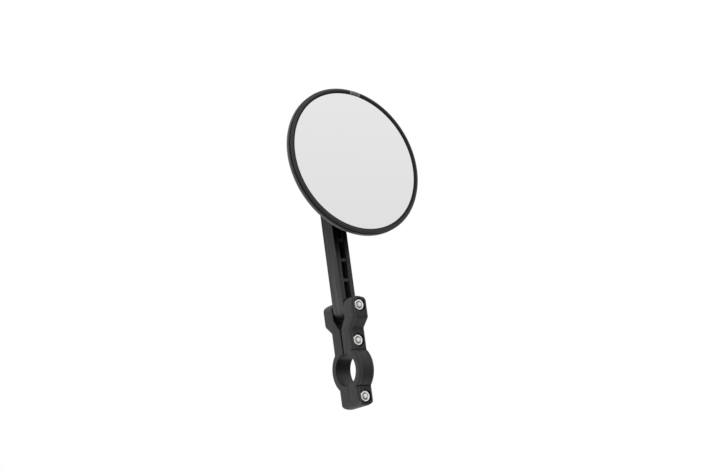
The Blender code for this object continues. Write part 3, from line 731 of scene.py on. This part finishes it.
def clamp_inner_path():
    """Inside of one half: the slot, its V floor, the split plane and the bore."""
    path = [*SLOT_FLOOR, (split_half(NECK_Z), NECK_Z + GAP)]
    top, bottom = bore_point(BORE_RADIUS), bore_point(-BORE_RADIUS)
    start = math.degrees(math.atan2(top[1], top[0]))
    end = math.degrees(math.atan2(bottom[1], bottom[0]))
    path += arc((0.0, 0.0), BORE_RADIUS, start, end, 56)
    return path


def smaller(first, second, blend):
    """The smaller of two lengths, with a rounded change from one to the other."""
    share = min(1.0, max(0.0, 0.5 + 0.5 * (second - first) / blend))
    return second * (1.0 - share) + first * share - blend * share * (1.0 - share)


def ball_nosed(z, across, top):
    """Lower heights to the round ends of the clamp, at a distance across its width."""
    rise = math.sqrt(max(0.0, CLAMP_HALF_WIDTH ** 2 - across ** 2))
    if z > PIVOT_Z - 2.0 * MM:
        return smaller(z, top - CLAMP_HALF_WIDTH + rise, END_BLEND)
    if z < LOWER_SCREW_Z + 2.0 * MM:
        return -smaller(-z, -(CLAMP_BOTTOM + CLAMP_HALF_WIDTH) + rise, END_BLEND)
    return z


def lip_step(across):
    """How far the outer face lies below its lip at a distance across the width."""
    share = (LIP_START + 0.15 * MM - abs(across)) / (0.3 * MM)
    return LIP_HEIGHT * min(1.0, max(0.0, share))


def clamp_half_mesh(name, side):
    """The outside is sunk between two lips, and its long edges are rounded."""
    outer = clamp_outer_path(CLAMP_TOPS[side])
    inner = clamp_inner_path()
    outline = [(side * y, z) for y, z in outer + inner]
    faces = len(outer) - 1
    rows = []
    for x in clamp_widths():
        margin = CLAMP_HALF_WIDTH - abs(x)
        drawn = [round_off(LONG_EDGE_ROUND, margin) + lip_step(x)] * faces
        drawn += [round_off(SMALL_ROUND, margin)] * (len(inner) + 1)
        rows.append([(x, y, ball_nosed(z, x, CLAMP_TOPS[side])) for y, z in drawn_in(outline, drawn)])
    return loft(name, rows)


def clamp_widths():
    """Stations across the clamp, closer together at its ends and at the lips' edges."""
    widths = eased_stations(CLAMP_HALF_WIDTH, 36)
    for side in (-1.0, 1.0):
        widths += [side * (LIP_START + step * MM) for step in (-0.15, -0.05, 0.05, 0.15)]
    return sorted(widths)


def clamp_stations():
    """Each cross screw: its name, its height and the distance of the outer face it sits in."""
    return (("pivot", PIVOT_Z, CHEEK_FACE), ("upper", UPPER_SCREW_Z, UPPER_FLAT),
            ("lower", LOWER_SCREW_Z, LOWER_FLAT))


def flared(outline_at, depth, throat, mouth, lip):
    """Levels of a pocket cutter that flares to its mouth over the lip's height."""
    rows = [[(u, v, -depth) for u, v in outline_at(throat)]]
    steps = 5
    for i in range(steps + 1):
        angle = math.radians(90.0 * i / steps)
        size = throat + (mouth - throat) * (1.0 - math.cos(angle))
        rows.append([(u, v, OFF_GRID - lip + lip * math.sin(angle)) for u, v in outline_at(size)])
    rows.append([(u, v, 3.0 * MM) for u, v in outline_at(mouth)])
    return rows


def nut_pocket():
    depth = NUT_HEIGHT + NUT_SUNK + GAP
    throat = NUT_POCKET_ACROSS_FLATS
    flare = 0.25 * MM
    return loft("nut_pocket", flared(lambda size: fillet(hexagon(size), 0.3 * MM), depth, throat,
                                     throat + 2.0 * flare, flare))


def counterbore(depth):
    radius = WASHER_RADIUS + GAP
    flare = 0.35 * MM
    return loft("counterbore", flared(circle, depth, radius, radius + flare, flare))


def serration(crest, root, away):
    """A disc whose one face is a ring of radial V teeth; its height runs along Z."""
    inner, outer = 1.4 * MM, TOOTH_OUTER_RADIUS
    rows = []
    for i in range(2 * TOOTH_COUNT):
        angle = math.pi * i / TOOTH_COUNT
        tooth = crest if i % 2 else root
        ring = []
        for radius, height in ((inner, tooth), (outer, tooth), (outer, away), (inner, away)):
            ring.append((radius * math.cos(angle), radius * math.sin(angle), height))
        rows.append(ring)
    bm = bmesh.new()
    bridge(bm, [[bm.verts.new(point) for point in row] for row in rows], closed=True)
    return finish_mesh(bm, "serration", 10.0)


def screw_hole():
    return prism("screw_hole", circle(SCREW_HOLE_RADIUS), -HOLE_REACH, HOLE_REACH)


def across_clamp(side, face, z, x=0.0):
    return Matrix.Translation((x, side * face, z)) @ TO_RIDER


def add_clamp_half(name, side, look):
    """side is -1 for the nuts' half and +1 for the screw heads' half."""
    cutters = []
    for _, z, face in clamp_stations():
        place = across_clamp(side, face, z, OFF_GRID)
        cutters.append((screw_hole(), place))
        if side < 0:
            cutters.append((nut_pocket(), place))
        else:
            cutters.append((counterbore(COUNTERBORE_DEPTH), place @ Matrix.Rotation(math.pi, 4, "X")))
    if side > 0:
        crest = -(SLOT_HALF + 0.05 * MM)
        teeth = serration(crest, crest - TOOTH_DEPTH, -SLOT_HALF + 2.0 * MM)
        cutters.append((teeth, across_clamp(0.0, 0.0, PIVOT_Z)))
    mesh = carve(clamp_half_mesh(name, side), cutters)
    add_piece(name + "_moulded", mesh, look, "clamp", "clamp_plastic", IN_PLACE, name)


# ------------ fasteners

def nut_mesh():
    """An M4 nut whose lower face is at its origin, with chamfered corners and a countersunk thread."""
    rim = NUT_ACROSS_FLATS / math.sqrt(3.0)
    flat = NUT_ACROSS_FLATS / 2.0 - 0.05 * MM
    outside = rim + 2.0 * MM
    above = NUT_HEIGHT + MM
    reach = NUT_CHAMFER / (rim - flat) * (outside - flat)
    crown = [(flat, NUT_HEIGHT + 0.01 * MM), (outside, NUT_HEIGHT - reach), (outside, above),
             (flat, above)]
    base = [(radius, NUT_HEIGHT - height) for radius, height in crown]
    mouth, bore = NUT_MOUTH_RADIUS, SCREW_HOLE_RADIUS
    hole = [(0.0, -MM), (mouth, -MM), (mouth, 0.0), (bore, NUT_CHAMFER),
            (bore, NUT_HEIGHT - NUT_CHAMFER), (mouth, NUT_HEIGHT), (mouth, above), (0.0, above)]
    cuts = [revolve("crown", crown, 96), revolve("base", base, 96), revolve("hole", hole, 48)]
    body = prism("nut", hexagon(NUT_ACROSS_FLATS), 0.0, NUT_HEIGHT)
    return carve(body, [(cut, IN_PLACE) for cut in cuts])


def threaded_rows(low, high, radius):
    """Loops of points along Z that follow an M4 thread from one height to another."""
    sides = 32
    steps = max(2, round((high - low) / THREAD_PITCH * 8))
    rows = []
    for step in range(steps + 1):
        height = low + (high - low) * step / steps
        fade = min(1.0, (high - height) / (0.6 * MM))
        row = []
        for i in range(sides):
            phase = (height / THREAD_PITCH - i / sides) % 1.0
            groove = 1.0 - abs(2.0 * phase - 1.0)
            local = radius - THREAD_DEPTH * (0.15 + 0.85 * groove) * fade - 0.35 * MM * (1.0 - fade)
            angle = math.tau * i / sides
            row.append((local * math.cos(angle), local * math.sin(angle), height))
        rows.append(row)
    return rows


def button_screw_mesh(length):
    """A button-head screw with a hexagon socket; the underside of the head is at its origin."""
    rim = SCREW_HEAD_RADIUS
    top = SCREW_HEAD_HEIGHT
    crown = 2.0 * MM
    straight = 0.35 * MM
    edge = 0.1 * MM
    rows = [ring_row(crown / 2.0, -top), ring_row(crown, -top)]
    for i in range(1, 9):
        angle = math.radians(90.0 * i / 8)
        rows.append(ring_row(crown + (rim - crown) * math.sin(angle),
                             -straight - (top - straight) * math.cos(angle)))
    rows += [ring_row(rim, -edge), ring_row(rim - edge, 0.0), ring_row(SCREW_RADIUS + edge, 0.0)]
    plain = length - THREAD_LENGTH
    rows += [ring_row(SCREW_RADIUS, edge), ring_row(SCREW_RADIUS, plain)]
    rows += threaded_rows(plain + 0.3 * MM, length - 0.12 * MM, SCREW_RADIUS)
    rows += [ring_row(1.45 * MM, length - 0.04 * MM), ring_row(1.2 * MM, length)]
    key = prism("key", fillet(hexagon(SCREW_KEY_ACROSS_FLATS), 0.1 * MM), -4.0 * MM, -0.8 * MM)
    return carve(loft("button_screw", rows), [(key, IN_PLACE)])


def add_clamp_fasteners(steel, screw_steel):
    for name, z, face in clamp_stations():
        under_head = face - COUNTERBORE_DEPTH + GAP
        if name == "pivot":
            under_head += WASHER_HEIGHT + GAP
        tip = face - NUT_SUNK + SCREW_PAST_NUT
        add_piece(name + "_screw_turned", button_screw_mesh(under_head + tip), screw_steel, "clamp",
                  "screw_steel", across_clamp(1.0, under_head, z), name + "_screw")
        seat = face - NUT_SUNK - NUT_HEIGHT
        add_piece(name + "_nut_turned", nut_mesh(), steel, "clamp", "zinc_steel",
                  across_clamp(-1.0, seat, z), name + "_nut")
    seat = CHEEK_FACE - COUNTERBORE_DEPTH + GAP + WASHER_HEIGHT
    add_piece("pivot_washer_turned", washer_mesh(), steel, "clamp", "zinc_steel",
              across_clamp(1.0, seat, PIVOT_Z), "pivot_washer")


def washer_mesh():
    inner = SCREW_HOLE_RADIUS
    square = [(inner, 0.0), (WASHER_RADIUS, 0.0), (WASHER_RADIUS, WASHER_HEIGHT), (inner, WASHER_HEIGHT)]
    return revolve("washer", fillet(square, 0.15 * MM, 3), ROUND_SIDES)


# ------------ arm

def pocket_cutter(low, high):
    """One lightening pocket with rounded corners and a softened mouth."""
    middle = (low + high) / 2.0

    def outline(grow):
        half = POCKET_HALF_WIDTH + grow
        reach = (high - low) / 2.0 + min(grow, 0.12 * MM)
        square = [(-half, middle - reach), (half, middle - reach), (half, middle + reach),
                  (-half, middle + reach)]
        return fillet(square, 0.35 * MM)

    mouth = 0.3 * MM
    return loft("pocket", flared(outline, POCKET_DEPTH, 0.0, mouth, mouth))


def channel_cutter(low, high):
    """The shallow channel that sinks the ribs below the arm's face."""
    half = POCKET_HALF_WIDTH - 0.02 * MM
    outline = fillet([(-half, low), (half, low), (half, high), (-half, high)], 0.3 * MM)
    return prism("channel", outline, -RIB_SUNK, 2.0 * MM)


def add_arm(look):
    top = BALL.z - PIVOT.z
    outline = stadium(0.0, top, ARM_HALF_WIDTH, 40)
    bar = soft_slab("arm", outline, ARM_EDGE_ROUND, ARM_HALF_DEPTH)
    front = Matrix.Translation((0.0, -ARM_HALF_DEPTH, 0.0)) @ TO_RIDER
    first = POCKET_START_Z - PIVOT.z
    last = first + POCKET_COUNT * POCKET_PITCH - RIB_WIDTH
    cutters = []
    for i in range(POCKET_COUNT):
        low = first + i * POCKET_PITCH
        cutters.append((pocket_cutter(low, low + POCKET_PITCH - RIB_WIDTH), front))
    cutters.append((channel_cutter(first + MM, last - MM), front))
    cutters.append((screw_hole(), TO_RIDER))
    cutters.append((screw_hole(), Matrix.Translation((0.0, 0.0, top)) @ TO_RIDER))
    depth = ARM_HALF_DEPTH - nut_bore_floor()
    back = Matrix.Translation((0.0, ARM_HALF_DEPTH, top)) @ TO_RIDER @ Matrix.Rotation(math.pi, 4, "X")
    cutters.append((counterbore(depth), back))
    crest = -(ARM_HALF_DEPTH - 0.05 * MM)
    cutters.append((serration(crest, crest + TOOTH_DEPTH, -ARM_HALF_DEPTH - 2.0 * MM), TO_RIDER))
    add_piece("arm_moulded", carve(bar, cutters), look, "arm", "arm_plastic", Matrix.Translation(PIVOT),
              "arm")


def nut_bore_floor():
    """How far behind the arm's middle the stud nut's counterbore ends."""
    return ARM_HALF_DEPTH + GAP - NUT_HEIGHT - WASHER_HEIGHT - 2.0 * GAP


def add_ball_stud(steel):
    """The stud and what clamps it to the arm; heights run from the arm's middle to the rider."""
    middle = Matrix.Translation((0.0, 0.0, BALL.z)) @ TO_RIDER
    collar_base = ARM_HALF_DEPTH + GAP
    collar_top = collar_base + STUD_COLLAR_HEIGHT
    tip = -BALL.y + STUD_IN_BALL
    tail = -(ARM_HALF_DEPTH + 0.7 * MM)
    rows = list(reversed([[(x, y, -z) for x, y, z in row]
                          for row in threaded_rows(3.0 * MM, -tail - 0.1 * MM, SCREW_RADIUS)]))
    rows.insert(0, ring_row(1.4 * MM, tail))
    edge = 0.15 * MM
    rim = STUD_COLLAR_RADIUS
    for radius, height in ((SCREW_RADIUS, -2.8 * MM), (SCREW_RADIUS, collar_base),
                           (rim - edge, collar_base), (rim, collar_base + edge),
                           (rim, collar_top - edge), (rim - edge, collar_top),
                           (SCREW_RADIUS, collar_top), (SCREW_RADIUS, tip)):
        rows.append(ring_row(radius, height))
    add_piece("ball_stud_turned", loft("ball_stud", rows), steel, "arm", "zinc_steel", middle,
              "ball_stud")
    front = nut_bore_floor() + GAP + WASHER_HEIGHT
    add_piece("stud_washer_turned", washer_mesh(), steel, "arm", "zinc_steel",
              middle @ Matrix.Translation((0.0, 0.0, -front)), "stud_washer")
    front += GAP + NUT_HEIGHT
    add_piece("stud_nut_turned", nut_mesh(), steel, "arm", "zinc_steel",
              middle @ Matrix.Translation((0.0, 0.0, -front)), "stud_nut")


# ------------ ball joint

def add_ball_and_seat(look):
    at_ball = Matrix.Translation(BALL) @ TO_RIDER
    hole_radius = SCREW_HOLE_RADIUS
    hole_end = STUD_IN_BALL + GAP
    mouth = math.degrees(math.asin(hole_radius / BALL_RADIUS))
    surface = arc((0.0, 0.0), BALL_RADIUS, -90.0 + mouth, 90.0, 32)
    surface[-1] = (0.0, BALL_RADIUS)
    ball = revolve("ball", surface + [(0.0, hole_end), (hole_radius, hole_end)], ROUND_SIDES)
    add_piece("ball_turned", ball, look, "ball", "white_plastic", at_ball, "ball")
    outer = arc((0.0, 0.0), SEAT_OUTER, -90.0 + SOCKET_OPENING, 90.0, 30)
    inner = arc((0.0, 0.0), SEAT_INNER, 90.0, -90.0 + SOCKET_OPENING, 30)
    outer[-1] = (0.0, SEAT_OUTER)
    inner[0] = (0.0, SEAT_INNER)
    seat = revolve("socket_seat", outer + inner, ROUND_SIDES)
    add_piece("socket_seat_moulded", seat, look, "socket_seat", "white_plastic", at_ball, "socket_seat")


# ------------ mirror head

def head_profile(points):
    """(radius, depth) points as (radius, height) in the head's frame, whose origin is the ball."""
    return [(radius, BALL_BEHIND_GLASS - depth) for radius, depth in points]


def bezel_front_points():
    """Front of the bezel as (radius, depth): a slope up from the glass, a crest and a round edge."""
    points = [(VIEW_RADIUS, -0.25 * MM), (CREST_RADIUS, -0.75 * MM)]
    flat = CREST_RADIUS + 0.3 * MM
    steps = 14
    for i in range(1, steps + 1):
        angle = math.radians(90.0 * i / steps)
        points.append((flat + (BEZEL_RADIUS - flat) * math.sin(angle),
                       0.1 * MM - 0.86 * MM * math.cos(angle)))
    return points


def add_bezel(look, insert_look):
    skirt_outer = HEAD_RADIUS - SHELL_WALL - GAP
    skirt_inner = GLASS_RADIUS + GAP
    lip = GLASS_DEPTHS[0] - 0.2 * MM
    edge = 0.12 * MM
    points = bezel_front_points()
    points += [(BEZEL_RADIUS, BEZEL_SEAM - edge), (BEZEL_RADIUS - edge, BEZEL_SEAM)]
    points += [(skirt_outer, BEZEL_SEAM), (skirt_outer, SKIRT_DEPTH), (skirt_inner, SKIRT_DEPTH),
               (skirt_inner, lip), (VIEW_RADIUS, lip)]
    ring = revolve("bezel_ring", head_profile(points), HEAD_SIDES)
    middle = 90.0 - INSERT_ANGLE
    inside, outside, ahead = VIEW_RADIUS - 2.0 * MM, HEAD_RADIUS + 2.0 * MM, -3.0 * MM
    notch = head_profile([(inside, ahead), (outside, ahead), (outside, INSERT_FLOOR),
                          (inside, INSERT_FLOOR)])
    cutter = sweep_sector("notch", notch, middle - INSERT_HALF_ANGLE, middle + INSERT_HALF_ANGLE, 12)
    add_piece("bezel_ring_moulded", carve(ring, [(cutter, IN_PLACE)]), look, "mirror_head",
              "head_plastic", HEAD_FRAME, "bezel_ring")
    half = INSERT_HALF_ANGLE - math.degrees(0.12 * MM / HEAD_RADIUS)
    floor = INSERT_FLOOR - 1.5 * GAP
    front = [point for point in bezel_front_points() if point[1] < floor - 0.05 * MM]
    outline = front + [(front[-1][0], floor), (VIEW_RADIUS, floor)]
    insert = sweep_sector("bezel_insert", head_profile(outline), middle - half, middle + half, 24)
    add_piece("bezel_insert_moulded", insert, insert_look, "mirror_head", "insert_grey", HEAD_FRAME,
              "bezel_insert")


def add_glass(look):
    edge = 0.1 * MM
    front, back = GLASS_DEPTHS
    profile = [(0.0, back), (GLASS_RADIUS - edge, back), (GLASS_RADIUS, back - edge),
               (GLASS_RADIUS, front + edge), (GLASS_RADIUS - edge, front), (0.0, front)]
    glass = revolve("mirror_glass", head_profile(profile), HEAD_SIDES)
    add_piece("mirror_glass_ground", glass, look, "mirror_head", "mirror_coat", HEAD_FRAME,
              "mirror_glass")


def dome_depth(radius):
    """Depth of the shell's outer back surface."""
    edge = HEAD_RADIUS - SHELL_WALL
    return SHELL_CORNER_DEPTH + SHELL_DOME * (1.0 - (radius / edge) ** 2)


def shell_back_points():
    """Outside of the shell from its front edge to the mouth of the socket."""
    corner = SHELL_WALL
    edge = 0.4 * MM
    points = arc((HEAD_RADIUS - edge, SHELL_FRONT + edge), edge, -90.0, 0.0, 6)
    points += arc((HEAD_RADIUS - corner, SHELL_CORNER_DEPTH - corner), corner, 0.0, 84.0, 12)
    radius = HEAD_RADIUS - corner - MM
    while radius > BACK_PAD_RADIUS + MM:
        points.append((radius, dome_depth(radius)))
        radius -= 1.8 * MM
    foot = BACK_PAD_RADIUS
    points.append((foot + 0.5 * MM, dome_depth(foot + 0.5 * MM) + 0.05 * MM))
    points.append((foot, dome_depth(foot) + 0.4 * MM))
    pad_edge, root = 0.6 * MM, 0.8 * MM
    points += arc((foot - pad_edge, BACK_PAD_DEPTH - pad_edge), pad_edge, 0.0, 90.0, 6)
    points += arc((SOCKET_OUTER + root, BACK_PAD_DEPTH + root), root, -90.0, -180.0, 6)
    points += arc((0.0, BALL_BEHIND_GLASS), SOCKET_OUTER, 0.0, 90.0 - SOCKET_OPENING, 20)
    return points


def shell_inside_points():
    """Inside of the shell from the mouth of the socket back to its front edge."""
    points = arc((0.0, BALL_BEHIND_GLASS), SOCKET_INNER, 90.0 - SOCKET_OPENING, 0.0, 20)
    points += [(SOCKET_INNER, CAP_ROOM_DEPTH), (CAP_ROOM_RADIUS, CAP_ROOM_DEPTH)]
    wall = HEAD_RADIUS - SHELL_WALL
    for radius in (CAP_ROOM_RADIUS, 26.0 * MM, 38.0 * MM, 46.0 * MM, wall):
        points.append((radius, dome_depth(radius) - SHELL_FLOOR_WALL))
    points.append((wall, SHELL_FRONT))
    return points


def add_shell(look):
    shell = revolve("back_shell", head_profile(shell_back_points() + shell_inside_points()), HEAD_SIDES)
    add_piece("back_shell_moulded", shell, look, "mirror_head", "head_plastic", HEAD_FRAME, "back_shell")


# ------------ stage, light and camera

def add_floor():
    """A wide pale disc well below the clamp, mostly behind it."""
    mesh = bpy.data.meshes.new("floor")
    bm = bmesh.new()
    bmesh.ops.create_circle(bm, cap_ends=True, segments=128, radius=FLOOR_RADIUS)
    bm.to_mesh(mesh)
    bm.free()
    middle = Vector((0.0, FLOOR_FRONT + FLOOR_RADIUS, FLOOR_Z))
    floor = add_object("floor", mesh, Matrix.Translation(middle))
    look = Look("pale_floor", grey(0.94), 0.8)
    look.colour(look.ramp(look.noise(60.0 * MM), 0.93, 0.96))
    mesh.materials.append(look.material)


def add_world():
    """A white light tent, dim in front except for one bright panel, before a white backdrop."""
    world = bpy.data.worlds.new("light_tent")
    world.use_nodes = True
    bpy.context.scene.world = world
    tree = world.node_tree
    tent = brighter(tree, towards(tree, TENT_BACK, TENT_BACK_SPREAD, TENT_DIM),
                    towards(tree, TENT_PANEL, TENT_PANEL_SPREAD, 0.0))
    backdrop = tree.nodes.new("ShaderNodeLightPath").outputs["Is Camera Ray"]
    tree.links.new(brighter(tree, tent, backdrop), tree.nodes["Background"].inputs["Color"])


def brighter(tree, first, second):
    node = tree.nodes.new("ShaderNodeMath")
    node.operation = "MAXIMUM"
    tree.links.new(first, node.inputs[0])
    tree.links.new(second, node.inputs[1])
    return node.outputs["Value"]


def towards(tree, axis, spread, dim):
    """Brightness that grows from dim to 1 as a direction turns towards an axis."""
    direction_in = tree.nodes.new("ShaderNodeTexCoord").outputs["Generated"]
    cosine = tree.nodes.new("ShaderNodeVectorMath")
    cosine.operation = "DOT_PRODUCT"
    cosine.inputs[1].default_value = axis
    tree.links.new(direction_in, cosine.inputs[0])
    ramp = tree.nodes.new("ShaderNodeMapRange")
    ramp.interpolation_type = "SMOOTHSTEP"
    for name, value in zip(("From Min", "From Max", "To Min", "To Max"), (*spread, dim, 1.0)):
        ramp.inputs[name].default_value = value
    tree.links.new(cosine.outputs["Value"], ramp.inputs["Value"])
    return ramp.outputs["Result"]


def direction(azimuth, elevation):
    a, e = math.radians(azimuth), math.radians(elevation)
    return Vector((math.sin(a) * math.cos(e), -math.cos(a) * math.cos(e), math.sin(e)))


def add_camera():
    camera = bpy.data.cameras.new("camera")
    camera.lens = CAMERA_LENS
    camera.sensor_width = 36.0
    camera.clip_start = 0.01
    view = add_object("camera", camera)
    away = direction(CAMERA_AZIMUTH, CAMERA_ELEVATION)
    view.location = CAMERA_TARGET + away * CAMERA_DISTANCE
    view.rotation_mode = "QUATERNION"
    roll = Quaternion((0.0, 0.0, 1.0), math.radians(CAMERA_ROLL))
    view.rotation_quaternion = (-away).to_track_quat("-Z", "Y") @ roll
    bpy.context.scene.camera = view


def build():
    clamp_look = clamp_plastic().material
    steel = plated_steel("zinc_plate", (0.82, 0.82, 0.81), (0.6, 0.6, 0.59), 0.22).material
    screw_steel = plated_steel("screw_plate", (0.86, 0.86, 0.85), (0.66, 0.66, 0.65), 0.3).material
    nylon = white_nylon().material

    add_clamp_half("clamp_half_nut_side", -1, clamp_look)
    add_clamp_half("clamp_half_screw_side", 1, clamp_look)
    add_clamp_fasteners(steel, screw_steel)
    add_arm(arm_plastic().material)
    add_ball_stud(steel)
    add_ball_and_seat(nylon)
    add_bezel(bezel_plastic().material, insert_plastic().material)
    add_glass(silvered_glass().material)
    add_shell(shell_plastic().material)
    finish_hidden_nodes(nylon, steel, screw_steel, foam().material)

    add_floor()
    add_world()
    add_camera()
    bpy.context.scene.view_settings.view_transform = "Standard"


def finish_hidden_nodes(nylon, steel, screw_steel, foam_look):
    """The sealed-in CAD nodes keep their shape and take a procedural material."""
    looks = {"ball_cap": nylon, "disc_spring": steel, "retainer_plate": screw_steel,
             "backing_pad": foam_look, "retainer_screw_1": screw_steel,
             "retainer_screw_2": screw_steel, "retainer_screw_3": screw_steel}
    for name, look in looks.items():
        frame["nodes"][name].material_slots[0].material = look


build()
